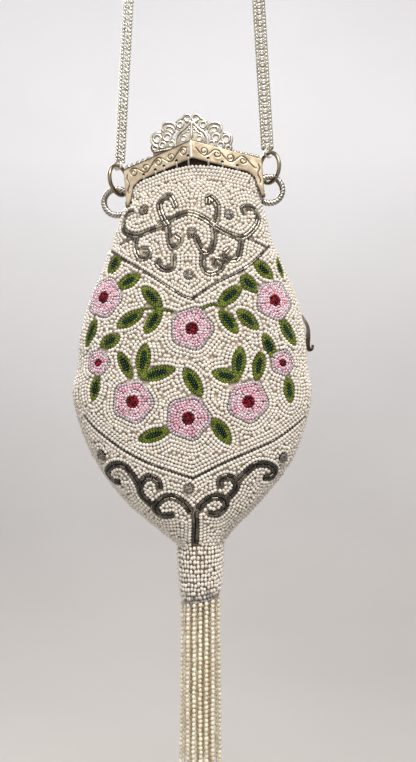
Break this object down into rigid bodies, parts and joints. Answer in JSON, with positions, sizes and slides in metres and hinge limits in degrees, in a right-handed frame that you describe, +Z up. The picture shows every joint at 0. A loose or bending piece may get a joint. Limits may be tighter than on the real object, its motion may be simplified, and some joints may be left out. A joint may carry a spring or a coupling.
{
  "type": "beaded frame bag",
  "caption": "Pear-shaped beaded evening bag with a gabled metal frame, pierced crown, chain handle and a beaded tassel.",
  "frame": {"origin": "underside of the chain handle at the top of its loop, where the bag hangs", "axes": "+Z up, +X to the right seen from the front, the decorated front faces -Y"},
  "size_m": [0.1185, 0.0432, 0.5622],
  "materials": {
    "beaded_cloth": "cloth closely sewn with ivory glass seed beads",
    "frame_metal": "pale gilt, engraved and darkened in the recesses",
    "ring_metal": "worn bright metal",
    "chain_metal": "pale silver with a yellow cast",
    "fringe_beads": "opaque cream pearl beads on thread",
    "cut_stone": "clear foil-backed glass in a silver cup"
  },
  "bodies": {
    "root": {"front_panel": "beaded_cloth", "back_panel": "beaded_cloth", "frame_front": "frame_metal", "frame_back": "frame_metal", "hinge_pin_left": "frame_metal", "hinge_pin_right": "frame_metal", "jump_ring_left": "ring_metal", "jump_ring_right": "ring_metal", "chain_left": "chain_metal", "chain_right": "chain_metal", "tassel_head": "beaded_cloth", "tassel_fringe": "fringe_beads", "side_pull": "ring_metal", "stone_upper_left": "cut_stone", "stone_upper_right": "cut_stone", "stone_upper_middle": "cut_stone", "stone_point": "cut_stone", "stone_lower_left": "cut_stone", "stone_lower_right": "cut_stone", "stone_lower_middle": "cut_stone"}
  },
  "joints": []
}
